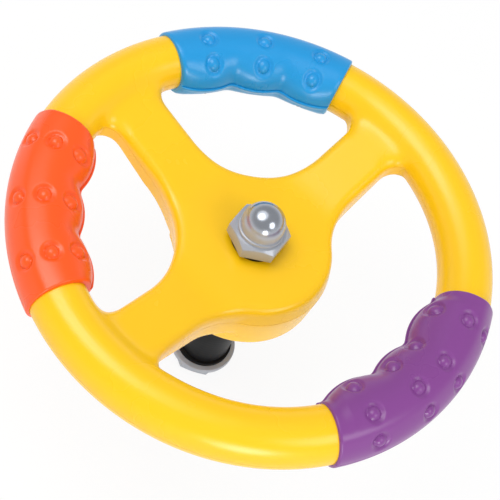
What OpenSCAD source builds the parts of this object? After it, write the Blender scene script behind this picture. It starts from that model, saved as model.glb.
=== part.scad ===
// Play hand wheel: a dished three-spoke wheel in two moulded shells, with three
// finger grips, that turns on a bolted sleeve and stands off a mounting board.
// The origin is on the axle, on the face that the board's front seats against.

/* [Rim] */
// Diameter of the rim's centre line
rim_d = 190; // [180:1:210]
// Diameter of the rim's round tube
tube_d = 24.6; // [23:0.1:26]
// Wall of the two wheel shells
shell_wall = 2.6; // [2:0.1:3]

/* [Hub and spokes] */
// Diameter of the hub's round side
hub_d = 73; // [68:0.5:80]
// Thickness of the hub between its front face and the spokes' rear faces
hub_h = 19; // [17:0.5:22]
// How far the hub's rear face stands behind the spokes
hub_boss_h = 10; // [5:0.5:11]
// How far the hub's front face lies behind the middle of the rim
hub_drop = 7.6; // [5:0.1:9]
// Half width of the two side spokes above the axle
spoke_up = 14.5; // [13:0.1:15.5]
// Half width of the two side spokes below the axle
spoke_low = 11.4; // [10.5:0.1:13]
// Width of the single spoke
post_w = 27.6; // [25:0.2:30]
// Rise of the spoke's front face above the rim's middle where it meets the rim
spoke_front_z = 4.5; // [3:0.1:6]
// Fall of the spoke's rear face below the rim's middle where it meets the rim
spoke_rear_z = 6; // [5:0.1:8]
// Radius of the two large corners between the spokes
spoke_corner_r = 43; // [39:0.5:45]
// Radius of the corners beside the hub's round side
hub_corner_r = 36; // [30:1:42]
// Radius of the corners where the spokes meet the rim
rim_corner_r = 9; // [6:0.5:9.5]

/* [Grips] */
// Angle that one grip covers
grip_span = 54; // [50:0.5:56]
// Angle that the purple grip is longer by at its right end
purple_right_extra = 3; // [0:0.5:3]
// Angle that the purple grip is longer by at its left end
purple_left_extra = 1; // [0:0.5:3]
// Angle that the blue grip is shorter by beside the side spoke
blue_side_trim = 1; // [0.5:0.5:3]
// Angle that the blue grip is shorter by beside the single spoke
blue_post_trim = 1.5; // [0.5:0.5:3]
// Angle that the orange grip is shorter by beside the single spoke
orange_post_trim = 3; // [0.5:0.5:3]
// Angle that the finger lobes leave free at the ends of a grip
lobe_margin = 4.5; // [3:0.5:6]
// How far a grip stands proud of the rim
grip_proud = 1.4; // [1.2:0.1:2]
// Thickness of the grip at a finger lobe
lobe_t = 6.2; // [5.8:0.1:6.8]
// Thickness of the grip in a groove between two lobes
groove_t = 3; // [2.6:0.1:3.6]
// Radius of the grooves between the lobes
groove_r = 9; // [8:0.5:10]
// Radius of a finger lobe's section
lobe_r = 11; // [10.4:0.1:11.6]
// Wall of a grip over its lobes
grip_wall = 1.5; // [1.2:0.1:1.8]
// Radius of the ball that forms a grip's nub
nub_r = 3.2; // [2.6:0.1:3.6]
// How far a nub stands proud
nub_proud = 0.5; // [0.3:0.1:0.8]

/* [Axle] */
// Diameter of the axle bolt
bolt_d = 16; // [15:0.5:17]
// Width of the bolt's head and of the cap nut across their flats
hex_af = 24; // [23.5:0.5:26]
// Height of the bolt's head
head_h = 10; // [8:0.5:12]
// Outer diameter of the sleeve that the wheel turns on
sleeve_d = 22; // [21:0.5:23]
// Length of sleeve that shows between the hub and the cap nut
sleeve_show = 3; // [2:0.5:6]
// Wall of the spacer tube behind the wheel
spacer_wall = 1.7; // [1.5:0.1:3]
// Length of the spacer tube
spacer_len = 72; // [60:0.5:90]
// Outer diameter of the rear washer
washer_d = 33; // [31:0.5:36]
// Thickness of the rear washer
washer_t = 3; // [2:0.5:4]
// Outer diameter of the thrust washer behind the hub
thrust_d = 34; // [31:0.5:38]
// Thickness of the thrust washer
thrust_t = 2; // [1.5:0.5:3]

/* [Cap nut] */
// Height of the nut's six-sided part
nut_hex_h = 7; // [6:0.5:8.5]
// Diameter of the nut's dome
nut_dome_d = 19.5; // [19:0.5:22]
// Height of the whole cap nut
nut_h = 20.5; // [20:0.5:26]
// Depth of the threaded hole in the nut
nut_thread = 12; // [10:0.5:12.5]
// Angle that the nut is tightened to, from a corner on +X
nut_turn = 9; // [0:1:59]

/* [Screws] */
// Thread diameter of the shell screws
screw_d = 4; // [3.5:0.1:4.2]
// Head diameter of the shell screws
screw_head_d = 7; // [6.5:0.1:7.2]
// Thread diameter of the grip screws
grip_screw_d = 2.2; // [2:0.1:2.3]
// Head diameter of the grip screws
grip_screw_head_d = 3.8; // [3.5:0.1:4]
// Distance of the hub screws from the axle
hub_screw_r = 22.5; // [21.5:0.1:23]
// Distance of the spoke screws from the axle
spoke_screw_at = 70; // [64:0.5:72]

/* [Clearances] */
// Gap all round between the turning hub and the sleeve
run_gap = 0.08; // [0.05:0.01:0.1]
// Gap behind the hub, between its rear face and the thrust washer
end_gap = 0.3; // [0.2:0.1:0.5]
// Gap between two pieces that are put together by hand
fit_gap = 0.1; // [0.05:0.05:0.15]

/* [Hidden] */
$fn = 96;

yellow = "#FFCD28";
purple = "#8C4696";
blue = "#2696DC";
orange = "#FF6932";
zinc = "#C8CCD0";
black = "#202022";

// Heights along the axle
hub_rear_z = spacer_len + thrust_t + end_gap;
hub_root_z = hub_rear_z + hub_boss_h;
hub_front_z = hub_root_z + hub_h;
hub_all_h = hub_h + hub_boss_h;
rim_z = hub_front_z + hub_drop;
sleeve_top_z = hub_front_z + sleeve_show;

// Radii of the wheel
rim_r = rim_d / 2;
tube_r = tube_d / 2;
rim_in_r = rim_r - tube_r;
hub_r = hub_d / 2;
bore_r = sleeve_d / 2 + run_gap;
spacer_r = sleeve_d / 2 + fit_gap + spacer_wall;
hub_boss_r = bore_r + shell_wall;
post_half = post_w / 2;

// The spokes end inside the wall of the rim's tube, this share of it deep
web_bite = 0.85;
web_end_r = rim_in_r + web_bite * shell_wall;

// How far a cut runs past the face that it opens
cut = 1;

// Directions of the spokes and of the grips, seen from the front
SPOKES = [0, 180, 270];
PURPLE_AT = 90;
BLUE_AT = 225;
ORANGE_AT = 315;

// Front, rear and hollow of the hub and spokes as turned outlines: the two shells part
// level at the hub and at the rim, and on a slope along the spokes
part_hub_z = hub_front_z - hub_h / 2;
part_flat = 2;
part_out_r = rim_in_r - part_flat;
spoke_front = rim_z + spoke_front_z;
spoke_rear = rim_z - spoke_rear_z;
FRONT_OUTLINE = [
  [0, part_hub_z], [hub_r, part_hub_z], [part_out_r, rim_z], [web_end_r, rim_z],
  [web_end_r, spoke_front], [rim_in_r, spoke_front], [hub_r, hub_front_z], [0, hub_front_z]
];
REAR_OUTLINE = [
  [0, hub_rear_z], [hub_r, hub_rear_z], [hub_r, hub_root_z],
  [rim_in_r, spoke_rear], [web_end_r, spoke_rear],
  [web_end_r, rim_z], [part_out_r, rim_z], [hub_r, part_hub_z], [0, part_hub_z]
];
HOLLOW_OUTLINE = [
  [0, hub_rear_z + shell_wall], [hub_r - shell_wall, hub_rear_z + shell_wall],
  [hub_r - shell_wall, hub_root_z + shell_wall],
  [rim_in_r - shell_wall, spoke_rear + shell_wall], [rim_in_r - shell_wall, spoke_front - shell_wall],
  [hub_r, hub_front_z - shell_wall], [0, hub_front_z - shell_wall]
];

// Shell screws
screw_r = screw_d / 2;
screw_head_r = screw_head_d / 2;
screw_head_h = 2.4;
screw_boss_wall = 1.2;
screw_boss_r = screw_head_r + fit_gap + screw_boss_wall;
screw_sink = 2.4;
screw_tip_gap = 0.6;
slot_w = 0.9;
slot_t = 1.2;
HUB_SCREWS = [90, 210, 330];
hub_screw_depth = hub_all_h - shell_wall;
spoke_slope = (rim_in_r - spoke_screw_at) / (rim_in_r - hub_r);
spoke_screw_rear = spoke_rear + (hub_root_z - spoke_rear) * spoke_slope;
spoke_screw_front = spoke_front + (hub_front_z - spoke_front) * spoke_slope;
spoke_screw_depth = spoke_screw_front - spoke_screw_rear - shell_wall;

// Grips
grip_r = tube_r + grip_proud;
lobe_at = rim_in_r - lobe_t + lobe_r;
groove_at = rim_in_r - groove_t - groove_r;
lobe_pitch = (grip_span - lobe_margin) / 3;
LOBES = [-lobe_pitch, 0, lobe_pitch];
PURPLE_ENDS = [-grip_span / 2 - purple_right_extra, grip_span / 2 + purple_left_extra];
BLUE_ENDS = [blue_side_trim - grip_span / 2, grip_span / 2 - blue_post_trim];
ORANGE_ENDS = [orange_post_trim - grip_span / 2, grip_span / 2];
GROOVES = [for (i = [-1.5 : 1.5]) i * lobe_pitch];
grip_screw_r = grip_screw_d / 2;
grip_screw_head_r = grip_screw_head_d / 2;
grip_screw_head_h = 1.6;
grip_boss_wall = 1;
grip_screw_clear = 1.2;
grip_screw_at = rim_in_r - grip_screw_r - grip_screw_clear;
grip_boss_r = grip_screw_r + grip_boss_wall;
lobe_half_h = sqrt(pow(lobe_r, 2) - pow(lobe_at - grip_screw_at, 2));

// Nubs of the grips: places round the tube, free angle at the ends, and columns of nubs
NUB_ROWS = [42, 92];
nub_margin = 4;
nub_fn = 48;
purple_columns = 4;
blue_columns = 3;
orange_columns = 3;

// Hexagons of the bolt's head and of the cap nut, with a turned chamfer
hex_flat_r = 0.475 * hex_af;
hex_out_r = 0.6 * hex_af;
hex_drop = 0.07 * hex_af;
bolt_tip_gap = 1;

// Six-sided bar with a corner on +X and its upper edge chamfered
module hexagon(h) {
  intersection() {
    cylinder(d = hex_af / cos(30), h = h, $fn = 6);
    rotate_extrude()
      polygon([[0, 0], [hex_out_r, 0], [hex_out_r, h - hex_drop], [hex_flat_r, h], [0, h]]);
  }
}

// Tube standing on z = 0
module tube(r_out, r_in, h) {
  difference() {
    cylinder(r = r_out, h = h);
    translate([0, 0, -cut]) cylinder(r = r_in, h = h + 2 * cut);
  }
}

// Round bar bent about the axle at the height of the rim, between two angles
module ring_bar(at, r, ends = [0, 360]) {
  translate([0, 0, rim_z])
    rotate([0, 0, ends[0]])
      rotate_extrude(angle = ends[1] - ends[0])
        translate([at, 0]) circle(r);
}

// Corner between the line y = line_y and a circle about the axle, on the circle's outside
module outer_corner(circle_r, line_y, r) {
  at = [sqrt(pow(circle_r + r, 2) - pow(line_y + r, 2)), line_y + r];
  difference() {
    polygon([[0, 0], [at.x, line_y], at, at * circle_r / (circle_r + r)]);
    translate(at) circle(r);
  }
}

// Corner between the line y = line_y and a circle about the axle, on the circle's inside
module inner_corner(circle_r, line_y, r) {
  at = [sqrt(pow(circle_r - r, 2) - pow(line_y + r, 2)), line_y + r];
  difference() {
    polygon([[at.x, line_y], [circle_r + tube_r / 2, line_y], at * circle_r / (circle_r - r), at]);
    translate(at) circle(r);
  }
}

// Plan of the hub and spokes, inset by the wall where it is a cavity
module web_plan(inset) {
  up = spoke_up - inset;
  low = spoke_low - inset;
  post = post_half - inset;
  corner = spoke_corner_r + inset;
  difference() {
    circle(hub_r - inset);
    translate([-hub_d, -2 * hub_d]) square(2 * hub_d);
  }
  translate([-rim_r, -low]) square([rim_d, low + up]);
  translate([-post, -rim_r]) square([post_w - 2 * inset, rim_r]);
  for (side = [0, 1])
    mirror([side, 0]) {
      outer_corner(hub_r - inset, up, hub_corner_r + inset);
      translate([0, -low - corner])
        difference() {
          square([post + corner, low + corner]);
          translate([post + corner, 0]) circle(corner);
        }
    }
  if (inset == 0)
    for (side = [0, 1])
      mirror([side, 0]) {
        inner_corner(web_end_r, up, rim_corner_r);
        mirror([0, 1]) inner_corner(web_end_r, low, rim_corner_r);
        rotate(-90) inner_corner(web_end_r, post, rim_corner_r);
      }
}

// Hub and spokes within a turned outline
module web(inset, outline) {
  intersection() {
    rotate_extrude() polygon(outline);
    linear_extrude(height = rim_z + tube_r) web_plan(inset);
  }
}

// Half of the rim's hollow tube: side 1 is the front half and side -1 the rear half
module rim_half(side) {
  translate([0, 0, rim_z])
    rotate_extrude()
      intersection() {
        translate([rim_r, 0])
          difference() {
            circle(tube_r);
            circle(tube_r - shell_wall);
          }
        translate([0, side > 0 ? 0 : -2 * tube_d]) square([2 * rim_r, 2 * tube_d]);
      }
}

// Places of the shell screws, on the rear face
module at_hub_screws() {
  for (a = HUB_SCREWS)
    rotate([0, 0, a]) translate([hub_screw_r, 0, hub_rear_z]) children();
}

module at_spoke_screws() {
  for (a = SPOKES)
    rotate([0, 0, a]) translate([spoke_screw_at, 0, spoke_screw_rear]) children();
}

// Hollow of the hub and spokes, with the bosses left standing in it
module web_hollow() {
  difference() {
    web(shell_wall, HOLLOW_OUTLINE);
    cylinder(r = hub_boss_r, h = rim_z);
    at_hub_screws() cylinder(r = screw_boss_r, h = hub_all_h);
    at_spoke_screws() cylinder(r = screw_boss_r, h = hub_h);
  }
}

// Hole for a shell screw: a head recess and a shank hole, from the rear
module screw_hole(depth) {
  translate([0, 0, -hub_h])
    cylinder(r = screw_head_r + fit_gap, h = hub_h + screw_sink + screw_head_h);
  cylinder(r = screw_r + fit_gap / 2, h = depth);
}

// Shell screw whose head sits at the bottom of its recess
module shell_screw(depth) {
  translate([0, 0, screw_sink])
    difference() {
      cylinder(r = screw_head_r, h = screw_head_h);
      for (a = [0, 90])
        rotate([0, 0, a]) translate([-screw_r, -slot_w / 2, -cut]) cube([screw_d, slot_w, cut + slot_t]);
    }
  translate([0, 0, screw_sink + screw_head_h])
    cylinder(r = screw_r, h = depth - screw_sink - screw_head_h - screw_tip_gap);
}

// One shell of the wheel: half of the rim's tube and one side of the hub and spokes
module wheel_shell(side, outline) {
  color(yellow)
    difference() {
      union() {
        rim_half(side);
        web(0, outline);
      }
      web_hollow();
      translate([0, 0, hub_rear_z - cut]) cylinder(r = bore_r, h = hub_all_h + 2 * cut);
      at_hub_screws() screw_hole(hub_screw_depth);
      at_spoke_screws() screw_hole(spoke_screw_depth);
    }
}

module wheel_front_shell() { wheel_shell(1, FRONT_OUTLINE); }
module wheel_rear_shell() { wheel_shell(-1, REAR_OUTLINE); }

module hub_screws() {
  color(zinc) at_hub_screws() shell_screw(hub_screw_depth);
}

module spoke_screws() {
  color(zinc) at_spoke_screws() shell_screw(spoke_screw_depth);
}

// Grooves between the finger lobes of a grip at angle 0, widened by the wall for its hollow
module grooves(wall) {
  for (a = GROOVES)
    rotate([0, 0, a])
      translate([groove_at, 0, rim_z - tube_d]) cylinder(r = groove_r + wall, h = 2 * tube_d);
}

// Outside of one grip, at angle 0
module grip_outside(ends, columns) {
  ring_bar(rim_r, grip_r, ends);
  difference() {
    ring_bar(lobe_at, lobe_r, ends);
    grooves(0);
  }
  nubs(columns);
}

// Rows of nubs over the front and rear of a grip
module nubs(columns) {
  step = (grip_span - nub_margin) / columns;
  for (i = [0 : columns - 1], row = NUB_ROWS, side = [-1, 1])
    rotate([0, 0, (i - (columns - 1) / 2) * step])
      translate([rim_r, 0, rim_z])
        rotate([0, -side * row, 0])
          translate([grip_r + nub_proud - nub_r, 0, 0]) sphere(nub_r, $fn = nub_fn);
}

// Hollow of one grip: the rim, and the space inside the lobes round the screw bosses
module grip_inside() {
  difference() {
    ring_bar(lobe_at, lobe_r - grip_wall, [-grip_span, grip_span]);
    grooves(grip_wall);
    at_grip_screws() translate([0, 0, -lobe_r]) cylinder(r = grip_boss_r, h = 2 * lobe_r);
  }
  ring_bar(rim_r, tube_r + fit_gap);
}

module at_grip_screws() {
  for (a = [LOBES[0], LOBES[2]])
    rotate([0, 0, a]) translate([grip_screw_at, 0, rim_z]) children();
}

// Hole for a grip screw, from the rear
module grip_screw_hole() {
  translate([0, 0, -2 * lobe_r])
    cylinder(r = grip_screw_head_r + fit_gap, h = 2 * lobe_r - lobe_half_h + 2 * grip_screw_head_h);
  translate([0, 0, -lobe_half_h])
    cylinder(r = grip_screw_r + fit_gap / 2, h = 2 * lobe_half_h - grip_wall);
}

// Grip screw whose head sits at the bottom of its recess
module grip_screw() {
  translate([0, 0, -lobe_half_h + grip_screw_head_h])
    cylinder(r = grip_screw_head_r, h = grip_screw_head_h);
  translate([0, 0, -lobe_half_h + 2 * grip_screw_head_h])
    cylinder(r = grip_screw_r, h = 2 * lobe_half_h - 2 * grip_screw_head_h - grip_wall - screw_tip_gap);
}

// One half of a grip: side 1 is the front half and side -1 the rear half
module grip_half(at, ends, side, columns) {
  keep = 4 * tube_d;
  rotate([0, 0, at])
    intersection() {
      difference() {
        grip_outside(ends, columns);
        grip_inside();
        at_grip_screws() grip_screw_hole();
      }
      translate([rim_in_r - lobe_t - tube_r, -keep / 2, rim_z + (side > 0 ? fit_gap / 2 : -keep)])
        cube([keep, keep, side > 0 ? keep : keep - fit_gap / 2]);
    }
}

module grip_screw_pair(at) {
  color(zinc) rotate([0, 0, at]) at_grip_screws() grip_screw();
}

module purple_grip_front() { color(purple) grip_half(PURPLE_AT, PURPLE_ENDS, 1, purple_columns); }
module purple_grip_rear() { color(purple) grip_half(PURPLE_AT, PURPLE_ENDS, -1, purple_columns); }
module purple_grip_screws() { grip_screw_pair(PURPLE_AT); }
module blue_grip_front() { color(blue) grip_half(BLUE_AT, BLUE_ENDS, 1, blue_columns); }
module blue_grip_rear() { color(blue) grip_half(BLUE_AT, BLUE_ENDS, -1, blue_columns); }
module blue_grip_screws() { grip_screw_pair(BLUE_AT); }
module orange_grip_front() { color(orange) grip_half(ORANGE_AT, ORANGE_ENDS, 1, orange_columns); }
module orange_grip_rear() { color(orange) grip_half(ORANGE_AT, ORANGE_ENDS, -1, orange_columns); }
module orange_grip_screws() { grip_screw_pair(ORANGE_AT); }

module axle_bolt() {
  color(zinc)
    translate([0, 0, -washer_t]) {
      rotate([180, 0, 0]) hexagon(head_h);
      cylinder(d = bolt_d, h = washer_t + sleeve_top_z + nut_thread - bolt_tip_gap);
    }
}

module rear_washer() {
  color(zinc)
    translate([0, 0, -washer_t]) tube(washer_d / 2, bolt_d / 2 + 2 * fit_gap, washer_t);
}

module spacer_tube() {
  color(black) tube(spacer_r, sleeve_d / 2 + fit_gap, spacer_len);
}

module axle_sleeve() {
  color(black) tube(sleeve_d / 2, bolt_d / 2 + 2 * fit_gap, sleeve_top_z);
}

module thrust_washer() {
  color(black)
    translate([0, 0, spacer_len]) tube(thrust_d / 2, sleeve_d / 2 + fit_gap, thrust_t);
}

module cap_nut() {
  dome_r = nut_dome_d / 2;
  neck_h = nut_h - dome_r;
  color(zinc)
    translate([0, 0, sleeve_top_z])
      difference() {
        union() {
          rotate([0, 0, nut_turn]) hexagon(nut_hex_h);
          cylinder(r = dome_r, h = neck_h);
          translate([0, 0, neck_h]) sphere(dome_r);
        }
        translate([0, 0, -dome_r - cut]) cylinder(r = hex_af, h = dome_r + cut);
        cylinder(r = bolt_d / 2 + fit_gap / 2, h = nut_thread);
      }
}

axle_bolt();
rear_washer();
spacer_tube();
axle_sleeve();
thrust_washer();
cap_nut();
wheel_front_shell();
wheel_rear_shell();
hub_screws();
spoke_screws();
purple_grip_front();
purple_grip_rear();
purple_grip_screws();
blue_grip_front();
blue_grip_rear();
blue_grip_screws();
orange_grip_front();
orange_grip_rear();
orange_grip_screws();
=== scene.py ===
import math

import bmesh
import bpy
from mathutils import Matrix, Vector


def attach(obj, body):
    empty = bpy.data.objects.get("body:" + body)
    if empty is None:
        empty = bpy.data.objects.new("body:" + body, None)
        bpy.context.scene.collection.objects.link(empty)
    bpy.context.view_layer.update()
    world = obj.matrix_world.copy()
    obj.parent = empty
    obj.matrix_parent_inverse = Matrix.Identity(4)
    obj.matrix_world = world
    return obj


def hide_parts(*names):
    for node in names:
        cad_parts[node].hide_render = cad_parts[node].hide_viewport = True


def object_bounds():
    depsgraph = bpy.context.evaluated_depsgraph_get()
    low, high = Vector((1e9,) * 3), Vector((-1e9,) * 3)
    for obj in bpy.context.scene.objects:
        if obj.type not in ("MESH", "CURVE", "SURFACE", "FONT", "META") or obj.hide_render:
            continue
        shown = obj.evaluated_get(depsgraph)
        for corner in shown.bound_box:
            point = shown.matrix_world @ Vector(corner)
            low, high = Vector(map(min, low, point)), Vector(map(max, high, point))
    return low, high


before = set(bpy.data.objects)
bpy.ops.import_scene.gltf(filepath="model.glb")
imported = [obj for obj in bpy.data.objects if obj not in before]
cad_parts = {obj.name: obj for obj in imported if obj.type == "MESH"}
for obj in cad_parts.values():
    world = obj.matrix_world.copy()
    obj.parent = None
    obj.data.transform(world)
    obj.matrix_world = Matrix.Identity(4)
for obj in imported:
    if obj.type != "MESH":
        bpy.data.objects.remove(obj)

bl_info = {
    "name": "Play Hand Wheel",
    "version": (1, 0, 0),
    "blender": (4, 5, 0),
    "location": "View3D > Sidebar > Hand Wheel",
    "description": "Builds a play hand wheel with finger grips round its solids",
    "category": "Add Mesh",
}

CAD_BOX = [list(corner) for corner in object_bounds()]
TURN = 2 * math.pi

# Steps round the axle of the finest turned shapes, and of a round ring, the most that Blender gives it
FINE_STEPS = 128
RING_STEPS = 256
# How far shapes that are joined or cut run into each other
OVERLAP = 0.001

# How far inside the rim's tube the corners beside it end, and how far short of it the parting is level
RIM_OVERLAP = 0.0022
PARTING_MARGIN = 0.002
# How close to a large corner's arc a vertex on it lies
ARC_TOLERANCE = 0.0001
# Rise of a face's normal: less than the first for a side wall, more than the second for a front or rear
WALL_RISE = 0.2
FACE_RISE = 0.6
# How fast the melted joint between a spoke and the rim gains its full strength
ROOT_GAIN = 1.6

# How softly two lobes join, how soon the swelling and its lobes fade round the tube, and where the loops
# of a rounded edge lie
LOBE_BLEND = 2.5
GROOVE_FADE = 2.5
LOBE_FADE = 9
EDGE_LOOPS = (0.06, 0.2, 0.4, 0.7, 1)
# The rows of nubs further round the tube than this are on the front half only
LAST_REAR_ROW = math.radians(120)

# Share of a plated face that reflects as bare metal, in its dull zone and in its bright zone, which are set
# by height
DULL_METALLIC = 0.15
BRIGHT_METALLIC = 0.85
# Heights that no plated piece reaches, for a plate that is dull all over
NEVER_BRIGHT = (1, 2)
# Shares of the dome's radius, up from its centre, where its metal reflection starts to rise and where it is
# full
DOME_SHINE = (0.25, 0.7)
# Rise of the top of the collar at the dome's foot
COLLAR_RISE = 0.0001
# Gaps round the bolt in its washer and sleeve, round it in the nut, and round the sleeve
BOLT_FIT = 0.0002
NUT_FIT = 0.00005
SLEEVE_FIT = 0.0001
# Rounding of the edges of the bolt and tubes, the two washers and the nut
EDGE = 0.0003
WASHER_EDGE = 0.0005
THRUST_EDGE = 0.0004
NUT_EDGE = 0.00035
# Radii of a hexagon's chamfer at its face and past its corners, as shares of the width across flats
CHAMFER_FLAT = 0.475
CHAMFER_OUT = 0.6

# Directions of the spokes about the axle, in degrees from +X
SPOKE_ANGLES = (0, 180, 270)
# The shell screws of each node: their distance from the axle, their directions and how deep they end
SHELL_SCREWS = {
    "hub_screws": (0.0225, (90, 210, 330), 0.0258),
    "spoke_screws": (0.07, SPOKE_ANGLES, 0.0096),
}
# A screw's head radius, head height and shank radius, and the radius of the pocket round its head
SHELL_SCREW = (0.0035, 0.0024, 0.002)
SHELL_POCKET_R = 0.0036
GRIP_SCREW = (0.0019, 0.0016, 0.0011)
GRIP_POCKET_R = 0.002
# Depth of a shell screw's head and of its pocket in the rear face, and how far from the seam a grip's
# screw starts and ends and its pocket ends
SHELL_SUNK = 0.0024
SHELL_POCKET_T = 0.0048
GRIP_SCREW_REAR = 0.0068
GRIP_SCREW_FRONT = 0.0063
GRIP_POCKET_END = 0.0052
# Each grip's direction, the angles of its two ends from there, the angles of its columns of nubs
# from its middle, and those of its rows of nubs round the tube, from the outer side over the front
GRIPS = {
    "purple": (90, (-30, 28), (-18.9, -4.4, 6.4, 20.9), (33, 86, 148)),
    "blue": (225, (-26, 25.5), (-17.3, -0.9, 15.5), (20, 90, 140)),
    "orange": (315, (-24, 27), (-16.4, 0, 16.4), (44, 94, 143)),
}

# Each lamp's azimuth and elevation in degrees, its width in metres and its power in watts
LAMPS = {
    "top_soft_box": (285, 68, 1.2, 4.2),
    "top_lamp": (302, 66, 0.7, 3.8),
    "side_soft_box": (90, 42, 0.6, 2.8),
    "front_soft_box": (49, 10, 0.45, 4),
}
LAMP_DISTANCE = 1.2
# Strength of the even fill and of the ceiling in reflections, and the heights between which the
# backdrop fades to the ceiling
FILL_LIGHT = 0.52
CEILING_LIGHT = 0.45
BACKDROP_FADE = (0.1, 0.5)
# Width of the floor, and how much of what the camera sees of it is its own glow
FLOOR_SIZE = 12
FLOOR_GLOW = 0.88
# The photograph's camera: its turn, tilt and roll in degrees, its place from the rim's middle along its
# own axes, and its sensor and lens in millimetres
CAMERA_TURN = 110.5
CAMERA_TILT = 33.6148
CAMERA_ROLL = 27.0624
CAMERA_PLACE = (-0.0042907, -0.0082398, 0.5206808)
CAMERA_SENSOR = 36
CAMERA_LENS = 86.566


def linear(hex_colour):
    """An sRGB hex colour as linear red, green, blue and alpha."""
    channels = [int(hex_colour[i:i + 2], 16) / 255 for i in (1, 3, 5)]
    return tuple(c / 12.92 if c <= 0.04045 else ((c + 0.055) / 1.055) ** 2.4 for c in channels) + (1.0,)


def length(name, description, millimetres):
    """A length property, with its default in millimetres."""
    return bpy.props.FloatProperty(
        name=name,
        description=description,
        default=millimetres / 1000,
        precision=5,
        subtype="DISTANCE",
    )


def angle(name, description, degrees):
    """An angle property, with its default in degrees."""
    return bpy.props.FloatProperty(
        name=name, description=description, default=math.radians(degrees), subtype="ANGLE"
    )


def colour(name, description, hex_colour):
    """A colour property, with its default as an sRGB hex value."""
    return bpy.props.FloatVectorProperty(
        name=name,
        description=description,
        default=linear(hex_colour),
        size=4,
        min=0,
        max=1,
        subtype="COLOR",
    )


class HandWheelShellSizes(bpy.types.PropertyGroup):
    """Sizes of the two moulded shells of the wheel"""

    rim_r: length("Rim Radius", "Radius of the rim's centre line", 95)
    tube_r: length("Tube Radius", "Radius of the rim's round tube", 12.3)
    rim_z: length("Rim Height", "Height of the rim's middle", 110.9)
    hub_r: length("Hub Radius", "Radius of the hub's round side", 36.5)
    hub_front: length("Hub Front", "Height of the hub's front face", 103.3)
    hub_rear: length("Hub Rear", "Height of the hub's rear face", 74.3)
    hub_root: length("Spoke Root", "Height of the spokes' rear faces at the hub", 84.3)
    part_z: length("Parting Height", "Height of the parting line round the hub", 93.8)
    spoke_up: length("Spoke Upper Half", "Half width of the side spokes above the axle", 14.5)
    spoke_low: length("Spoke Lower Half", "Half width of the side spokes below the axle", 11.4)
    post_half: length("Post Half Width", "Half width of the single spoke", 13.8)
    spoke_end: length("Spoke End", "Distance of a spoke's end from the axle, inside the tube", 90)
    spoke_front: length("Spoke Front", "Height of a spoke's front face at the rim", 115.4)
    spoke_rear: length("Spoke Rear", "Height of a spoke's rear face at the rim", 104.9)
    large_corner: length("Large Corner", "Radius of the two large corners between spokes", 43)
    hub_corner: length("Hub Corner", "Radius of the corners beside the hub's round side", 36)
    rim_corner: length("Rim Corner", "Radius of the corners where the spokes meet the rim", 9)
    front_round: length("Front Rounding", "Rounding of the front edges of the hub and spokes", 4.2)
    rear_round: length("Rear Rounding", "Rounding of the rear edges of the hub and spokes", 1.3)
    ramp_soft: length("Ramp Softness", "Half width of the soft bend where a spoke leaves the hub", 6)
    root_soft: length("Root Softness", "Width of the melted joint between a spoke and the rim", 13)
    hub_draft: length("Hub Draft", "How far the hub's wall leans out to the parting line", 1.1)
    rear_draft: length("Rear Draft", "How far the rear edges draw back in the two large corners", 2.9)
    boss_draft: length("Boss Draft", "How far the boss draws back in the two large corners", 5.2)
    bore_r: length("Bore Radius", "Radius of the hub's bore", 11.08)
    seam: length("Seam", "Width of the parting line between the shells", 0.18)
    voxel: length("Mesh Size", "Size of the shells' mesh", 0.72)


class HandWheelGripSizes(bpy.types.PropertyGroup):
    """Sizes of the finger grips"""

    outer_r: length("Outer Radius", "Radius of a grip's round outside", 13.7)
    inner_r: length("Inner Radius", "Radius of a grip's inside", 12.36)
    lobe_pitch: angle("Lobe Pitch", "Angle between two finger lobes", 16.5)
    lobe_tip: length("Lobe Tip", "Distance of a lobe's tip from the axle", 75.7)
    lobe_plan_r: length("Lobe Plan Radius", "Radius of a lobe seen from the front", 27)
    groove: length("Groove Swelling", "How far a grip swells inwards between its lobes", 2.5)
    rear_reach: bpy.props.FloatProperty(
        name="Rear Reach", description="Share of the lobes' reach that their rear halves have", default=0.78
    )
    rear_blend: length("Rear Blend", "Depth below the seam where the rear half has its own reach", 3)
    ledge: length("Ledge", "How far the rear half stands out past the front half at the seam", 0.9)
    lobe_soft: length("Lobe Softness", "Rounding where a lobe runs out", 0.8)
    nub_r: length("Nub Radius", "Radius of a nub's foot", 3)
    nub_h: length("Nub Height", "Height of a nub above the bottom of its dish", 1.65)
    dish_r: length("Dish Radius", "Radius of the dish round a nub", 5.1)
    dish_t: length("Dish Depth", "Depth of the dish round a nub", 1)
    ridge_h: length("Ridge Height", "Height of the soft ridge along a grip's outer side", 0.35)
    ridge_at: angle("Ridge Place", "Place of that ridge round the tube, from the outer side", 60)
    ridge_w: angle("Ridge Width", "How far the ridge spreads round the tube", 13)
    end_round: length("End Rounding", "Rounding of the grip's end edges", 0.9)
    seam_round: length("Seam Rounding", "Rounding of the halves' edges along the seam", 0.4)
    screw_at: length("Screw Place", "Distance of a grip's screws from the axle", 80.4)
    seam: length("Seam", "Width of the seam between the two halves", 0.08)
    voxel: length("Mesh Size", "Size of the grips' mesh", 0.45)


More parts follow.
